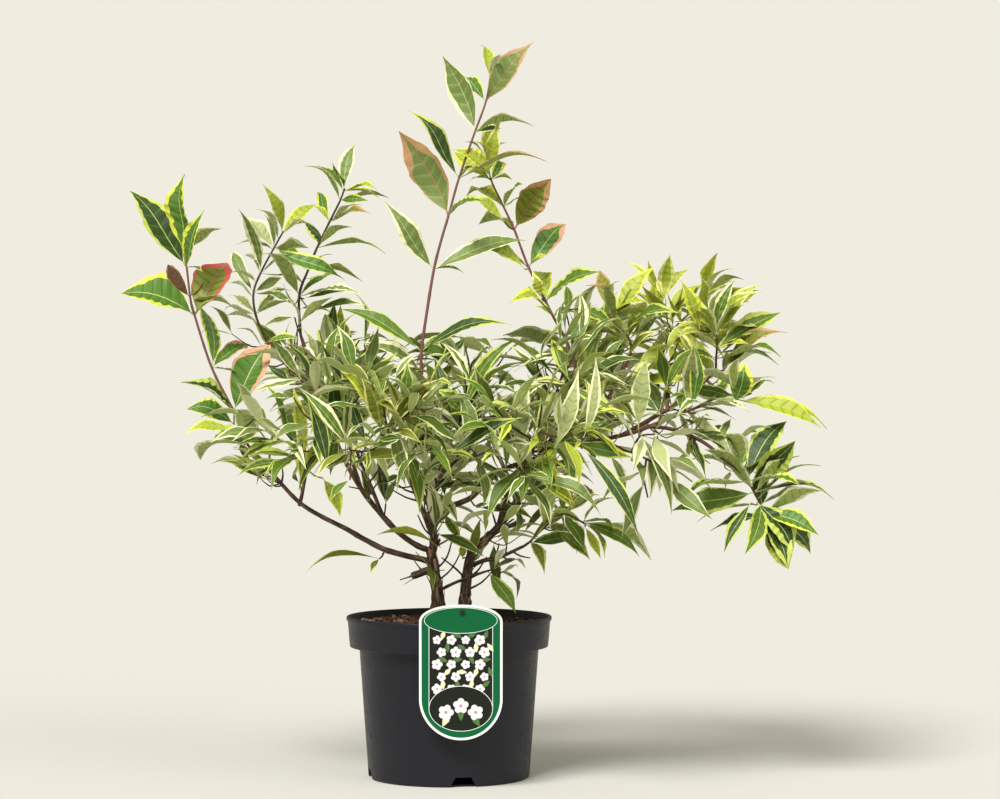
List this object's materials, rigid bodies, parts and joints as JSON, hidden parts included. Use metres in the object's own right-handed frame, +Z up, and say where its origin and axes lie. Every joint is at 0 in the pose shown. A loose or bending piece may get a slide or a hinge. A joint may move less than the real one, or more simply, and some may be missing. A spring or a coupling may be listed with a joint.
{
  "type": "weigela shrub in a nursery pot",
  "caption": "Variegated weigela shrub with arching leafy shoots, growing from two short trunks in a round black plastic nursery pot with a hanging label.",
  "frame": {"origin": "under the middle of the pot's flat base, on the surface the pot stands on", "axes": "+Z up; -Y is the front, the side that the label hangs on; +X is to the right as seen from the front"},
  "size_m": [0.7783, 0.5831, 0.8263],
  "materials": {
    "pot_plastic": "moulded anthracite polypropylene, satin, with fine scuffs",
    "compost": "moist bark compost, rough",
    "label_card": "printed plastic label, smooth",
    "old_bark": "flaking grey-brown bark on old wood, redder and smoother on young wood",
    "leaves": "variegated leaves, green centres with lime to cream margins"
  },
  "bodies": {
    "root": {"pot": "pot_plastic", "soil": "compost", "label": "label_card", "label_clip": "pot_plastic", "trunk_left": "old_bark", "trunk_right": "old_bark", "bough_leader": "old_bark", "bough_second_leader": "old_bark", "bough_left_arch": "old_bark", "bough_left_inner": "old_bark", "bough_left_outer": "old_bark", "bough_left_low": "old_bark", "bough_left_mid": "old_bark", "bough_left_back": "old_bark", "bough_front_left": "old_bark", "bough_front_right": "old_bark", "bough_back_left": "old_bark", "bough_back_centre": "old_bark", "bough_back_right": "old_bark", "bough_long_right": "old_bark", "bough_low_right": "old_bark", "bough_centre": "old_bark", "bough_centre_right": "old_bark", "bough_right_under": "old_bark", "bough_upper_right": "old_bark", "bough_outer_right": "old_bark", "bough_crest": "old_bark", "bough_right_drop": "old_bark", "bough_low_twig": "old_bark", "stub_pruned": "old_bark", "stub_broken": "old_bark", "foliage_hanging_leaf": "leaves", "foliage_leader": "leaves", "foliage_second_leader": "leaves", "foliage_left_arch": "leaves", "foliage_left_outer": "leaves", "foliage_left_inner": "leaves", "foliage_long_right": "leaves", "foliage_right_drop": "leaves", "foliage_upper_right": "leaves", "foliage_outer_right": "leaves", "foliage_low_right": "leaves", "foliage_low_twig": "leaves", "foliage_left_mid": "leaves", "foliage_left_low": "leaves", "foliage_centre": "leaves", "foliage_centre_right": "leaves", "foliage_crest": "leaves", "foliage_right_under": "leaves", "foliage_front_left": "leaves", "foliage_front_right": "leaves", "foliage_left_back": "leaves", "foliage_back_left": "leaves", "foliage_back_centre": "leaves", "foliage_back_right": "leaves"}
  },
  "joints": []
}
